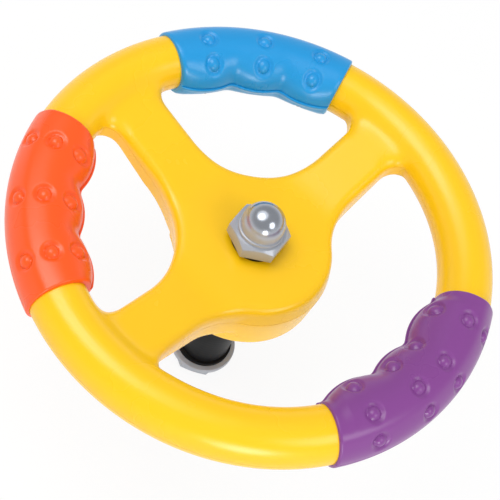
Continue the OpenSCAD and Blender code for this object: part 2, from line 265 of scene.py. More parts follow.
class HandWheelAxleSizes(bpy.types.PropertyGroup):
    """Sizes of the bolt, nut and tubes on the axle"""

    bolt_r: length("Bolt Radius", "Radius of the axle bolt", 8)
    bolt_end: length("Bolt End", "How far the bolt reaches into the nut", 11)
    hex_flats: length("Hexagon", "Width of the bolt's head and of the nut across their flats", 24)
    head_h: length("Head Height", "Height of the bolt's head", 10)
    head_chamfer: length("Head Chamfer", "Fall of the head's chamfer", 1.7)
    washer_r: length("Washer Radius", "Radius of the rear washer", 16.5)
    washer_t: length("Washer Thickness", "Thickness of the rear washer", 3)
    sleeve_r: length("Sleeve Radius", "Radius of the sleeve that the wheel turns on", 11)
    sleeve_top: length("Sleeve Top", "Height of the sleeve's front end", 106.3)
    spacer_r: length("Spacer Radius", "Radius of the spacer tube", 12.8)
    foot: length("Spacer Foot", "How far the foot of the spacer tube stands out", 1.2)
    foot_h: length("Foot Height", "Height of the spacer tube's foot", 2.4)
    groove_t: length("Groove Depth", "Depth of the groove above that foot", 0.4)
    groove_w: length("Groove Width", "Width of the bottom of that groove", 0.8)
    spacer_len: length("Spacer Length", "Length of the spacer tube", 72)
    thrust_r: length("Thrust Washer Radius", "Radius of the thrust washer", 17)
    thrust_t: length("Thrust Washer Thickness", "Thickness of the thrust washer", 2)
    nut_hex_h: length("Nut Hexagon Height", "Height of the nut's six-sided part", 7)
    nut_h: length("Nut Height", "Height of the whole cap nut", 20.5)
    nut_chamfer: length("Nut Chamfer", "Fall of the nut's chamfer", 2.1)
    nut_hole: length("Nut Hole", "Depth of the nut's hole", 12)
    dome_r: length("Dome Radius", "Radius of the nut's dome", 9.75)
    collar: length("Dome Collar", "How far the collar at the dome's foot stands out", 0.7)
    collar_h: length("Collar Height", "Height of the collar at the dome's foot", 1.8)
    nut_turn: angle("Nut Turn", "Angle that the nut is tightened to", 9)
    head_turn: angle("Head Turn", "Angle of the bolt's head", 0)


class HandWheelColours(bpy.types.PropertyGroup):
    """Colours of the finishes"""

    yellow: colour("Yellow", "Colour of the wheel's shells", "#FFCA10")
    purple: colour("Purple", "Colour of the purple grip", "#84428F")
    blue: colour("Blue", "Colour of the blue grip", "#1897DA")
    orange: colour("Orange", "Colour of the orange grip", "#FF5A14")
    zinc: colour("Zinc", "Colour of the plated steel", "#A6ABB4")
    bright: colour("Bright Plate", "Colour of the cap nut", "#AAAFB8")
    black: colour("Black", "Colour of the tubes on the axle", "#0B0B0D")
    floor: colour("Floor", "Colour of the floor", "#FFFFFF")


class HandWheelSettings(bpy.types.PropertyGroup):
    """All sizes and colours of the hand wheel"""

    shell: bpy.props.PointerProperty(type=HandWheelShellSizes)
    grip: bpy.props.PointerProperty(type=HandWheelGripSizes)
    axle: bpy.props.PointerProperty(type=HandWheelAxleSizes)
    colours: bpy.props.PointerProperty(type=HandWheelColours)


# Modelling steps


def deselect_all():
    """Leave edit mode and deselect every object."""
    if bpy.context.object and bpy.context.object.mode != "OBJECT":
        bpy.ops.object.mode_set(mode="OBJECT")
    bpy.ops.object.select_all(action="DESELECT")


def take(piece):
    """Make a piece the only selected object and the active one."""
    deselect_all()
    piece.select_set(True)
    bpy.context.view_layer.objects.active = piece
    return piece


def added(operator, **settings):
    """The object that an operator adds."""
    deselect_all()
    operator(**settings)
    return bpy.context.object


def settle(piece):
    """Put a piece's place, turn and scale into its mesh."""
    take(piece)
    bpy.ops.object.transform_apply(location=True, rotation=True, scale=True)
    return piece


def modify(piece, kind, **settings):
    """Add a modifier with its settings and apply it."""
    take(piece)
    modifier = piece.modifiers.new(kind, kind)
    for key, value in settings.items():
        setattr(modifier, key, value)
    bpy.ops.object.modifier_apply(modifier=modifier.name)
    return piece


def combine(piece, tool, operation):
    """Join, cut or intersect a piece with a tool, which is then deleted."""
    modify(piece, "BOOLEAN", operation=operation, object=tool, solver="MANIFOLD")
    bpy.data.objects.remove(tool)
    return piece


def copy_of(piece):
    """A copy of a piece with its own mesh."""
    twin = piece.copy()
    twin.data = piece.data.copy()
    bpy.context.collection.objects.link(twin)
    return twin


def turn_about_axle(piece, radians):
    """Turn a piece about the axle."""
    piece.matrix_world = Matrix.Rotation(radians, 4, "Z") @ piece.matrix_world
    return settle(piece)


def join(pieces):
    """Join several pieces into the first one."""
    take(pieces[0])
    for piece in pieces:
        piece.select_set(True)
    bpy.ops.object.join()
    return pieces[0]


def edit(piece):
    """Open a piece in edit mode with everything selected."""
    take(piece)
    bpy.ops.object.mode_set(mode="EDIT")
    bpy.ops.mesh.select_all(action="SELECT")


def select_edges(piece, test):
    """Open a piece in edit mode with only the edges selected that pass a test."""
    take(piece)
    bpy.ops.object.mode_set(mode="EDIT")
    bpy.ops.mesh.select_mode(type="EDGE")
    bpy.ops.mesh.select_all(action="DESELECT")
    mesh = bmesh.from_edit_mesh(piece.data)
    for edge in mesh.edges:
        edge.select_set(test(edge))
    bmesh.update_edit_mesh(piece.data)


def score(piece, point, normal):
    """Add a loop of edges round a piece where a plane meets it."""
    edit(piece)
    bpy.ops.mesh.bisect(plane_co=point, plane_no=normal)
    bpy.ops.object.mode_set(mode="OBJECT")


def loop_through(points):
    """A closed loop of edges: a circle with a vertex for each point, moved onto them."""
    loop = added(bpy.ops.mesh.primitive_circle_add, vertices=len(points), radius=1)
    for vertex, point in zip(loop.data.vertices, points):
        vertex.co = point
    return loop


def turned(profile, steps=96):
    """A solid turned about the axle from a closed profile of radii and heights."""
    piece = loop_through([(radius, 0, height) for radius, height in profile])
    edit(piece)
    bpy.ops.mesh.spin(steps=steps, angle=TURN, center=(0, 0, 0), axis=(0, 0, 1))
    bpy.ops.mesh.select_all(action="SELECT")
    bpy.ops.mesh.remove_doubles(threshold=1e-6)
    bpy.ops.mesh.normals_make_consistent(inside=False)
    bpy.ops.object.mode_set(mode="OBJECT")
    return piece


def flat_ring(inner, outer, low, high, edge):
    """A plain ring about the axle between two radii and two heights, with rounded edges."""
    return round_edges(turned([(inner, low), (outer, low), (outer, high), (inner, high)]), edge)


def rod(radius, low, high, at=(0, 0), sides=64):
    """A round or many-sided rod between two heights."""
    place = (at[0], at[1], (low + high) / 2)
    cylinder = bpy.ops.mesh.primitive_cylinder_add
    return settle(added(cylinder, vertices=sides, radius=radius, depth=high - low, location=place))


def ring(major, minor, at, minor_steps=64):
    """A round ring lying flat."""
    torus = added(
        bpy.ops.mesh.primitive_torus_add,
        major_radius=major,
        minor_radius=minor,
        major_segments=RING_STEPS,
        minor_segments=minor_steps,
        location=at,
    )
    return settle(torus)


def arc(centre, radius, start, end, steps):
    """Points on an arc between two angles in degrees."""
    angles = [math.radians(start + (end - start) * i / steps) for i in range(steps + 1)]
    return [(centre[0] + radius * math.cos(a), centre[1] + radius * math.sin(a)) for a in angles]


def on_circle(radius, turns):
    """Points in plan about the axle, at angles in radians."""
    return [(radius * math.cos(turn), radius * math.sin(turn)) for turn in turns]


def round_edges(piece, width, segments=3, limit=30):
    """Round a piece's edges where its faces meet at more than a limit in degrees."""
    return modify(
        piece,
        "BEVEL",
        width=width,
        segments=segments,
        limit_method="ANGLE",
        angle_limit=math.radians(limit),
    )


def finish_piece(piece, name, body, nodes, material, smooth_angle=35):
    """Name a finished piece, shade it, give it its finish and set it on its body."""
    take(piece)
    bpy.ops.object.shade_smooth_by_angle(angle=math.radians(smooth_angle))
    piece.name = name
    piece.data.name = name
    piece.data.materials.clear()
    piece.data.materials.append(material)
    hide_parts(*nodes)
    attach(piece, body)
    return piece


# Materials


def add_node(tree, kind, settings=None, links=None):
    """Add a shader node, set its values by attribute or socket name, and link its inputs."""
    node = tree.nodes.new("ShaderNode" + kind)
    for key, value in (settings or {}).items():
        if isinstance(key, str) and hasattr(node, key):
            setattr(node, key, value)
        else:
            node.inputs[key].default_value = value
    for key, socket in (links or {}).items():
        tree.links.new(socket, node.inputs[key])
    return node


def new_material(name):
    """A new node material, its nodes and its shader."""
    material = bpy.data.materials.new(name)
    material.use_nodes = True
    return material, material.node_tree, material.node_tree.nodes["Principled BSDF"]


def per_metre(millimetres):
    """The texture scale at which one feature has this size."""
    return 1000 / millimetres


def noise(tree, place, size, detail):
    """A pattern of soft patches, with their size in millimetres."""
    settings = {"Scale": per_metre(size), "Detail": detail}
    return add_node(tree, "TexNoise", settings, {"Vector": place}).outputs["Fac"]


def vary_roughness(tree, shader, pattern, low, high):
    """Let a pattern move a finish's roughness between two values."""
    gloss = add_node(tree, "MapRange", {"To Min": low, "To Max": high}, {"Value": pattern})
    tree.links.new(gloss.outputs["Result"], shader.inputs["Roughness"])


def add_bump(tree, shader, pattern, strength, depth):
    """Let a pattern raise a finish's face, with its depth in metres."""
    bump = add_node(tree, "Bump", {"Strength": strength, "Distance": depth}, {"Height": pattern})
    tree.links.new(bump.outputs["Normal"], shader.inputs["Normal"])


def fade(tree, value, start, end, low, high):
    """A soft change from low, where a value is at its start, to high at its end."""
    settings = {"interpolation_type": "SMOOTHSTEP", "From Min": start, "From Max": end}
    settings.update({"To Min": low, "To Max": high})
    return add_node(tree, "MapRange", settings, {"Value": value}).outputs["Result"]


def moulded_plastic(name, base, roughness, mottle):
    """Injection-moulded polyethylene: an even colour that is a touch deeper in patches, a satin gloss
    that varies with the flow of the melt, and the faint ripple that a mould leaves."""
    material, tree, shader = new_material(name)
    place = add_node(tree, "TexCoord").outputs["Object"]
    flow = noise(tree, place, size=26, detail=3)
    deep = tuple(c * (1 - mottle) for c in base[:3]) + (1.0,)
    shade = add_node(tree, "Mix", {"data_type": "RGBA", 6: deep, 7: tuple(base)}, {0: flow})
    tree.links.new(shade.outputs[2], shader.inputs["Base Color"])
    vary_roughness(tree, shader, flow, low=roughness - 0.05, high=roughness + 0.06)
    add_bump(tree, shader, noise(tree, place, size=7, detail=1), strength=0.06, depth=0.0004)
    shader.inputs["IOR"].default_value = 1.5
    return material


def zinc_plate(name, base, roughness, grain, shine=NEVER_BRIGHT):
    """Zinc-plated steel: slightly blue, clouded by the plating bath, with fine rolled grain. It reflects as
    dull plate up to the first height in shine and as bright metal from the second one. This reflection is
    set by height so that a nut's lower flank mirrors little of the yellow wheel, and is not a real change
    of polish."""
    material, tree, shader = new_material(name)
    place = add_node(tree, "TexCoord").outputs["Object"]
    cloud = noise(tree, place, size=5, detail=4)
    vary_roughness(tree, shader, cloud, low=roughness * 0.7, high=roughness * 1.4)
    add_bump(tree, shader, noise(tree, place, size=0.6, detail=2), strength=grain, depth=0.0001)
    shader.inputs["Base Color"].default_value = tuple(base)
    height = add_node(tree, "SeparateXYZ", {}, {0: place})
    # Metallic set by height: dull low down, bright metal higher up, which keeps the wheel's yellow out of
    # the lower reflections
    metal_by_height = fade(tree, height.outputs["Z"], *shine, DULL_METALLIC, BRIGHT_METALLIC)
    tree.links.new(metal_by_height, shader.inputs["Metallic"])
    return material


def turned_nylon(name, base):
    """Turned black nylon: a dull sheen with fine tool rings along the axle, drawn coarser than real ones
    so that they show."""
    material, tree, shader = new_material(name)
    place = add_node(tree, "TexCoord").outputs["Object"]
    rings = add_node(
        tree,
        "TexWave",
        {"bands_direction": "Z", "Scale": per_metre(1.2) / TURN, "Distortion": 0.4},
        {"Vector": place},
    )
    add_bump(tree, shader, rings.outputs["Fac"], strength=0.08, depth=0.0001)
    vary_roughness(tree, shader, noise(tree, place, size=9, detail=3), low=0.36, high=0.52)
    shader.inputs["Base Color"].default_value = tuple(base)
    shader.inputs["IOR"].default_value = 1.53
    shader.inputs["Specular IOR Level"].default_value = 0.1
    return material


def white_floor(name, base, glow):
    """A white studio floor: it takes the object's shadow, and glows by the given share towards the camera
    and in reflections."""
    material, tree, shader = new_material(name)
    tree.nodes.remove(shader)
    path = add_node(tree, "LightPath")
    seen = add_node(
        tree,
        "Math",
        {"operation": "MAXIMUM"},
        {0: path.outputs["Is Camera Ray"], 1: path.outputs["Is Glossy Ray"]},
    )
    share = add_node(tree, "Math", {"operation": "MULTIPLY", 1: glow}, {0: seen.outputs[0]})
    paint = add_node(tree, "BsdfDiffuse", {"Color": tuple(base)})
    light = add_node(tree, "Emission", {"Color": tuple(base), "Strength": 1.0})
    both = add_node(
        tree, "MixShader", {}, {0: share.outputs[0], 1: paint.outputs[0], 2: light.outputs[0]}
    )
    tree.links.new(both.outputs[0], tree.nodes["Material Output"].inputs["Surface"])
    return material


# Wheel shells


def along_spoke(x, y):
    """Distance from the axle along the nearest spoke."""
    return max(abs(x), -y)


def ramp(at, start, low, slope, soft):
    """Height of a face that is level up to start and then climbs, with a soft bend between."""
    past = at - start
    if past <= -soft:
        return low
    if past >= soft:
        return low + slope * past
    return low + slope * (past + soft) ** 2 / (4 * soft)


def corner_in_rim(shell, line):
    """Points of the corner between the line y = line and the rim, and of the spoke's end behind it."""
    wall_r = shell.rim_r - shell.tube_r + RIM_OVERLAP
    side = line + shell.rim_corner
    at = (math.sqrt((wall_r - shell.rim_corner) ** 2 - side**2), side)
    tilt = math.atan2(at[1], at[0])
    corner = arc(at, shell.rim_corner, 270, 360 + math.degrees(tilt), 14)
    return corner + on_circle(shell.spoke_end, [tilt])


def web_outline(shell):
    """Outline of the hub and spokes seen from the front, right half first."""
    line = shell.spoke_up + shell.hub_corner
    hub_at = (math.sqrt((shell.hub_r + shell.hub_corner) ** 2 - line**2), line)
    hub_angle = math.degrees(math.atan2(hub_at[1], hub_at[0]))
    large_at = (shell.post_half + shell.large_corner, -shell.spoke_low - shell.large_corner)
    right = arc((0, 0), shell.hub_r, 90, hub_angle, 16)
    right += arc(hub_at, shell.hub_corner, 180 + hub_angle, 270, 16)[1:]
    right += corner_in_rim(shell, shell.spoke_up) + [(shell.spoke_end, 0)]
    right += [(x, -y) for x, y in reversed(corner_in_rim(shell, shell.spoke_low))]
    right += arc(large_at, shell.large_corner, 90, 180, 30)
    right += [(y, -x) for x, y in corner_in_rim(shell, shell.post_half)] + [(0, -shell.spoke_end)]
    return right + [(-x, y) for x, y in reversed(right[1:-1])]


def make_web(shell):
    """Hub and spokes as one block with rounded edges; the spokes run into the rim's tube."""
    block = loop_through([(x, y, 0) for x, y in web_outline(shell)])
    edit(block)
    bpy.ops.mesh.edge_face_add()
    for step in range(-2, 3):
        at = shell.hub_r + step * shell.ramp_soft / 2
        for direction in ((1, 0, 0), (-1, 0, 0), (0, -1, 0)):
            bpy.ops.mesh.select_all(action="SELECT")
            bpy.ops.mesh.bisect(plane_co=at * Vector(direction), plane_no=direction)
    bpy.ops.mesh.select_all(action="SELECT")
    bpy.ops.mesh.extrude_region_move(TRANSFORM_OT_translate={"value": (0, 0, shell.hub_front)})
    bpy.ops.object.mode_set(mode="OBJECT")
    reach = shell.rim_r - shell.tube_r - shell.hub_r
    front_slope = (shell.spoke_front - shell.hub_front) / reach
    rear_slope = (shell.spoke_rear - shell.hub_root) / reach
    for vertex in block.data.vertices:
        at = along_spoke(vertex.co.x, vertex.co.y)
        if vertex.co.z > shell.hub_front / 2:
            vertex.co.z = ramp(at, shell.hub_r, shell.hub_front, front_slope, shell.ramp_soft)
        else:
            vertex.co.z = ramp(at, shell.hub_r, shell.hub_root, rear_slope, shell.ramp_soft / 4)
            draw_back(vertex, shell)
    edit(block)
    bpy.ops.mesh.normals_make_consistent(inside=False)
    for side, width in ((1, shell.front_round), (-1, shell.rear_round)):
        select_edges(block, lambda edge: is_outline(edge, side))
        bpy.ops.mesh.bevel(offset=width, segments=6, profile=0.5, clamp_overlap=False)
    bpy.ops.object.mode_set(mode="OBJECT")
    return block


def from_large_corner(vertex, shell):
    """The centre of the large corner on a vertex's side, and the way from there to the vertex."""
    side = math.copysign(1, vertex.co.x)
    centre = Vector((side * (shell.post_half + shell.large_corner), -shell.spoke_low - shell.large_corner))
    return centre, vertex.co.xy - centre


def draw_back(vertex, shell):
    """Move a rear vertex of a large corner towards the axle, most in the corner's middle."""
    centre, away = from_large_corner(vertex, shell)
    if abs(away.length - shell.large_corner) < ARC_TOLERANCE:
        bow = 2 * abs(away.x) * away.y / away.length**2
        vertex.co.xy = centre + away * (1 + max(0, bow) * shell.rear_draft / away.length)


def is_outline(edge, side):
    """Whether an edge lies between a side wall and the front (side 1) or rear (side -1)."""
    tilts = sorted(side * face.normal.z for face in edge.link_faces)
    return len(tilts) == 2 and abs(tilts[0]) < WALL_RISE and tilts[1] > FACE_RISE


def make_boss(shell):
    """Round boss of the hub, widest at the parting line and drawn back in the two large corners."""
    wide, top = shell.hub_r + shell.hub_draft, shell.hub_front - shell.front_round
    profile = [(0, shell.hub_rear), (shell.hub_r, shell.hub_rear), (wide, shell.part_z)]
    profile += [(shell.hub_r, top), (0, top)]
    boss = turned(profile, FINE_STEPS)
    for vertex in boss.data.vertices:
        centre, away = from_large_corner(vertex, shell)
        clear = shell.large_corner + shell.boss_draft
        if away.length < clear:
            vertex.co.xy = centre + away * clear / away.length
    return round_edges(boss, shell.rear_round, 4)


def make_parting_tool(shell, lift):
    """Block above the parting surface: level at the rim and the hub, sloped along the spokes."""
    reach = shell.rim_r + 2 * shell.tube_r
    flat = shell.rim_r - shell.tube_r - PARTING_MARGIN
    low, level, top = shell.part_z + lift, shell.rim_z + lift, shell.rim_z + 2 * shell.tube_r
    profile = [(0, low), (shell.hub_r, low), (flat, level), (reach, level), (reach, top), (0, top)]
    return turned(profile, FINE_STEPS)


def soften_roots(body, shell):
    """Melt the front of the rim and the spokes together where they meet."""
    root_r = shell.rim_r - math.sqrt(shell.tube_r**2 - (shell.spoke_front - shell.rim_z) ** 2)
    group = body.vertex_groups.new(name="spoke_roots")
    for vertex in body.data.vertices:
        x, y, z = vertex.co
        beside = min(abs(y), abs(x) if y < 0 else math.inf)
        near = 1 - abs(vertex.co.xy.length - root_r) / shell.root_soft
        inside = (shell.spoke_up + shell.rim_corner - beside) / shell.rim_corner
        weight = min(1, ROOT_GAIN * near, inside)
        if z > shell.rim_z and weight > 0:
            group.add([vertex.index], weight, "REPLACE")
    modify(body, "SMOOTH", factor=0.5, iterations=200, vertex_group=group.name)


class HANDWHEEL_OT_shells(bpy.types.Operator):
    """Model the front and rear shells of the wheel"""

    bl_idname = "handwheel.shells"
    bl_label = "Wheel Shells"

    def execute(self, context):
        settings = context.scene.hand_wheel
        shell = settings.shell
        rim = ring(shell.rim_r, shell.tube_r, (0, 0, shell.rim_z))
        body = combine(make_web(shell), make_boss(shell), "UNION")
        body = combine(body, rim, "UNION")
        modify(body, "REMESH", mode="VOXEL", voxel_size=shell.voxel)
        modify(body, "SMOOTH", factor=0.5, iterations=8)
        soften_roots(body, shell)
        combine(body, rod(shell.bore_r, 0, 2 * shell.rim_z, sides=96), "DIFFERENCE")
        rear = copy_of(body)
        combine(body, make_parting_tool(shell, shell.seam / 2), "INTERSECT")
        combine(rear, make_parting_tool(shell, -shell.seam / 2), "DIFFERENCE")
        for node in SHELL_SCREWS:
            places, low = screw_places(shell, node)
            for at in places:
                combine(rear, rod(SHELL_POCKET_R, 0, low + SHELL_POCKET_T, at, 48), "DIFFERENCE")
        base = settings.colours.yellow
        yellow = moulded_plastic("yellow_polyethylene", base, roughness=0.26, mottle=0.03)
        finish_piece(body, "front_shell", "wheel", ["wheel_front_shell"], yellow)
        finish_piece(rear, "rear_shell", "wheel", ["wheel_rear_shell"], yellow)
        return {"FINISHED"}


def screw_places(shell, node):
    """Places in plan of a node's shell screws, and the height of the rear face there."""
    radius, angles, _ = SHELL_SCREWS[node]
    low = shell.hub_rear
    if radius > shell.hub_r:
        share = (radius - shell.hub_r) / (shell.rim_r - shell.tube_r - shell.hub_r)
        low = shell.hub_root + (shell.spoke_rear - shell.hub_root) * share
    return on_circle(radius, [math.radians(a) for a in angles]), low


# Grips


def lobe_reach(shell, grip, turn):
    """How far the finger lobes reach inwards past the round grip, at an angle along it."""
    centre = grip.lobe_tip + grip.lobe_plan_r
    total = 0
    for step in (-1, 0, 1):
        away = turn - step * grip.lobe_pitch
        side = centre * math.sin(away)
        if abs(side) < grip.lobe_plan_r:
            inner = centre * math.cos(away) - math.sqrt(grip.lobe_plan_r**2 - side**2)
            past = shell.rim_r - grip.outer_r - inner
            total += ((past + math.hypot(past, grip.lobe_soft)) / 2) ** LOBE_BLEND
    return total ** (1 / LOBE_BLEND)


def nub_height(grip, away):
    """Height of the grip's face at a distance from the middle of a nub: a dish with a dome in it."""
    if away >= grip.dish_r:
        return 0
    if away >= grip.nub_r:
        climb = (away - grip.nub_r) / (grip.dish_r - grip.nub_r)
        return -grip.dish_t * (1 + math.cos(math.pi * climb)) / 2
    ball = (grip.nub_r**2 + grip.nub_h**2) / (2 * grip.nub_h)
    return math.sqrt(ball**2 - away**2) - ball + grip.nub_h - grip.dish_t


def edge_drop(away, rounding):
    """How far a face falls towards a rounded edge, at a distance from that edge."""
    past = min(rounding, max(0, rounding - away))
    return rounding - math.sqrt(rounding**2 - past**2)


def bent_bar(shell, grip, low, high):
    """A round bar along the rim between two angles, meshed finely and closed at its ends."""
    around = round(TURN * grip.outer_r / grip.voxel)
    section = arc((shell.rim_r, shell.rim_z), grip.outer_r, 0, 360, around)[1:]
    bar = loop_through([(at * math.cos(high), at * math.sin(high), height) for at, height in section])
    edit(bar)
    steps = round((high - low) * shell.rim_r / grip.voxel)
    bpy.ops.mesh.spin(steps=steps, angle=high - low, center=(0, 0, 0), axis=(0, 0, 1))
    bpy.ops.mesh.select_all(action="SELECT")
    bpy.ops.mesh.fill_holes(sides=0)
    bpy.ops.mesh.normals_make_consistent(inside=False)
    bpy.ops.object.mode_set(mode="OBJECT")
    return bar


def make_grip(shell, grip, ends, columns, rows):
    """One grip at angle 0, before it is parted: a round sleeve swelled into finger lobes, with rounded
    ends and seams, and a nub in a dish at each crossing of its columns and rows."""
    low, high = (math.radians(end) for end in ends)
    centre = Vector((0, 0, shell.rim_z))
    body = bent_bar(shell, grip, low, high)
    for share in EDGE_LOOPS:
        inset = share * grip.end_round / shell.rim_r
        for turn in (low + inset, high - inset):
            score(body, centre, (-math.sin(turn), math.cos(turn), 0))
        for side in (-1, 1):
            rise = side * (grip.seam / 2 + share * grip.seam_round)
            score(body, centre + Vector((0, 0, rise)), (0, 0, 1))
    middle = (low + high) / 2
    spots = [(middle + math.radians(column), math.radians(row)) for column in columns for row in rows]
    rear_spots = [spot for spot in spots if spot[1] < LAST_REAR_ROW]
    for vertex in body.data.vertices:
        turn = math.atan2(vertex.co.y, vertex.co.x)
        out = vertex.co.xy.length - shell.rim_r
        up = vertex.co.z - shell.rim_z
        tilt = math.atan2(up, out)
        below = min(1, max(0, -up) / grip.rear_blend)
        drawn = below**2 * (3 - 2 * below)
        reach = lobe_reach(shell, grip, turn - middle) * (1 - (1 - grip.rear_reach) * drawn)
        swell, inward = min(reach, grip.groove), (1 - math.cos(tilt)) / 2
        radius = grip.outer_r + swell * inward**GROOVE_FADE + (reach - swell) * inward**LOBE_FADE
        radius += grip.ridge_h * math.exp(-(((abs(tilt) - grip.ridge_at) / grip.ridge_w) ** 2))
        for spot_turn, spot_tilt in spots if up > 0 else rear_spots:
            along = (turn - spot_turn) * (shell.rim_r + out)
            if abs(along) < grip.dish_r:
                radius += nub_height(grip, math.hypot(along, (abs(tilt) - spot_tilt) * grip.outer_r))
        end_drop = edge_drop(min(turn - low, high - turn) * shell.rim_r, grip.end_round)
        if up > 0:
            radius -= grip.ledge * inward**LOBE_FADE
        radius -= max(end_drop, edge_drop(max(0, abs(up) - grip.seam / 2), grip.seam_round))
        place = shell.rim_r + radius * math.cos(tilt)
        vertex.co = (place * math.cos(turn), place * math.sin(turn), shell.rim_z + radius * math.sin(tilt))
    return combine(body, ring(shell.rim_r, grip.inner_r, centre, minor_steps=96), "DIFFERENCE")


def grip_screw_places(grip, degrees):
    """Places in plan of the two screws that hold a grip's halves together, in its outer lobes."""
    return on_circle(grip.screw_at, [math.radians(degrees) + side * grip.lobe_pitch for side in (-1, 1)])


class HANDWHEEL_OT_grips(bpy.types.Operator):
    """Model the three coloured grips, each in a front and a rear half"""

    bl_idname = "handwheel.grips"
    bl_label = "Finger Grips"

    def execute(self, context):
        settings = context.scene.hand_wheel
        shell, grip = settings.shell, settings.grip
        for name, (degrees, ends, columns, rows) in GRIPS.items():
            base = getattr(settings.colours, name)
            material = moulded_plastic(name + "_polyethylene", base, roughness=0.28, mottle=0.05)
            whole = turn_about_axle(make_grip(shell, grip, ends, columns, rows), math.radians(degrees))
            for half, side in (("front", 1), ("rear", -1)):
                piece = copy_of(whole)
                edge, far = shell.rim_z + side * grip.seam / 2, shell.rim_z + side * 2 * grip.outer_r
                keep = rod(shell.rim_r + 2 * grip.outer_r, min(edge, far), max(edge, far))
                combine(piece, keep, "INTERSECT")
                if half == "rear":
                    for at in grip_screw_places(grip, degrees):
                        pocket = rod(GRIP_POCKET_R, 0, shell.rim_z - GRIP_POCKET_END, at, 32)
                        combine(piece, pocket, "DIFFERENCE")
                node = f"{name}_grip_{half}"
                finish_piece(piece, f"{name}_{half}_half", "wheel", [node], material)
            bpy.data.objects.remove(whole)
        return {"FINISHED"}


# Axle


def hexagon(axle, low, high, top_side, turn, drop):
    """Six-sided bar with a turned chamfer on its upper (top_side 1) or lower (-1) edge, which falls by
    drop between its two radii."""
    flat_r, out_r = CHAMFER_FLAT * axle.hex_flats, CHAMFER_OUT * axle.hex_flats
    bar = rod(axle.hex_flats / math.sqrt(3), low, high, sides=6)
    turn_about_axle(bar, turn - TURN / 4)
    if top_side > 0:
        profile = [(0, low), (out_r, low), (out_r, high - drop), (flat_r, high), (0, high)]
    else:
        profile = [(0, low), (flat_r, low), (out_r, low + drop), (out_r, high), (0, high)]
    return combine(bar, turned(profile, FINE_STEPS), "INTERSECT")


class HANDWHEEL_OT_bolt(bpy.types.Operator):
    """Model the axle bolt and its washer"""

    bl_idname = "handwheel.bolt"
    bl_label = "Bolt and Washer"

    def execute(self, context):
        settings = context.scene.hand_wheel
        axle = settings.axle
        zinc = zinc_plate("zinc_plated_steel", settings.colours.zinc, roughness=0.4, grain=0.12)
        seat = -axle.washer_t
        bolt = hexagon(axle, seat - axle.head_h, seat, -1, axle.head_turn, axle.head_chamfer)
        combine(bolt, rod(axle.bolt_r, seat - OVERLAP, axle.sleeve_top + axle.bolt_end), "UNION")
        round_edges(bolt, EDGE)
        finish_piece(bolt, "bolt", "axle", ["axle_bolt"], zinc)
        washer = flat_ring(axle.bolt_r + BOLT_FIT, axle.washer_r, seat, 0, WASHER_EDGE)
        finish_piece(washer, "washer", "axle", ["rear_washer"], zinc)
        return {"FINISHED"}


class HANDWHEEL_OT_tubes(bpy.types.Operator):
    """Model the spacer tube, the sleeve and the thrust washer"""

    bl_idname = "handwheel.tubes"
    bl_label = "Tubes"

    def execute(self, context):
        settings = context.scene.hand_wheel
        axle = settings.axle
        nylon = turned_nylon("turned_black_nylon", settings.colours.black)
        inside, outside, top = axle.sleeve_r + SLEEVE_FIT, axle.spacer_r, axle.spacer_len
        foot, neck = outside + axle.foot, outside - axle.groove_t
        groove_low = axle.foot_h + axle.groove_t / 2
        groove_high = groove_low + axle.groove_w
        profile = [(inside, 0), (foot, 0), (foot, axle.foot_h), (neck, groove_low), (neck, groove_high)]
        profile += [(outside, groove_high + axle.groove_t), (outside, top), (inside, top)]
        spacer = round_edges(turned(profile), EDGE)
        finish_piece(spacer, "spacer", "axle", ["spacer_tube"], nylon)
        sleeve = flat_ring(axle.bolt_r + BOLT_FIT, axle.sleeve_r, 0, axle.sleeve_top, EDGE)
        finish_piece(sleeve, "sleeve", "axle", ["axle_sleeve"], nylon)
        thrust = flat_ring(inside, axle.thrust_r, top, top + axle.thrust_t, THRUST_EDGE)
        finish_piece(thrust, "thrust_ring", "axle", ["thrust_washer"], nylon)
        return {"FINISHED"}


class HANDWHEEL_OT_cap_nut(bpy.types.Operator):
    """Model the cap nut"""

    bl_idname = "handwheel.cap_nut"
    bl_label = "Cap Nut"

    def execute(self, context):
        settings = context.scene.hand_wheel
        axle = settings.axle
        low = axle.sleeve_top
        shoulder = low + axle.nut_hex_h
        nut = hexagon(axle, low, shoulder, 1, axle.nut_turn, axle.nut_chamfer)
        neck = low + axle.nut_h - axle.dome_r
        collar_r, collar_top = axle.dome_r + axle.collar, shoulder + axle.collar_h
        dome = [(0, low + OVERLAP), (collar_r, low + OVERLAP), (collar_r, collar_top)]
        dome += [(axle.dome_r, collar_top + COLLAR_RISE)]
        dome += arc((0, neck), axle.dome_r, 0, 90, 32)
        combine(nut, turned(dome, FINE_STEPS), "UNION")
        round_edges(nut, NUT_EDGE, limit=20)
        combine(nut, rod(axle.bolt_r + NUT_FIT, low - OVERLAP, low + axle.nut_hole), "DIFFERENCE")
        # Heights where the nut's height-set metal reflection starts to rise and where it is full, not a
        # real polish
        shine = [neck + share * axle.dome_r for share in DOME_SHINE]
        bright = zinc_plate(
            "bright_plated_steel", settings.colours.bright, roughness=0.18, grain=0.04, shine=shine
        )
        finish_piece(nut, "acorn_nut", "axle", ["cap_nut"], bright, 25)
        return {"FINISHED"}


# Screws


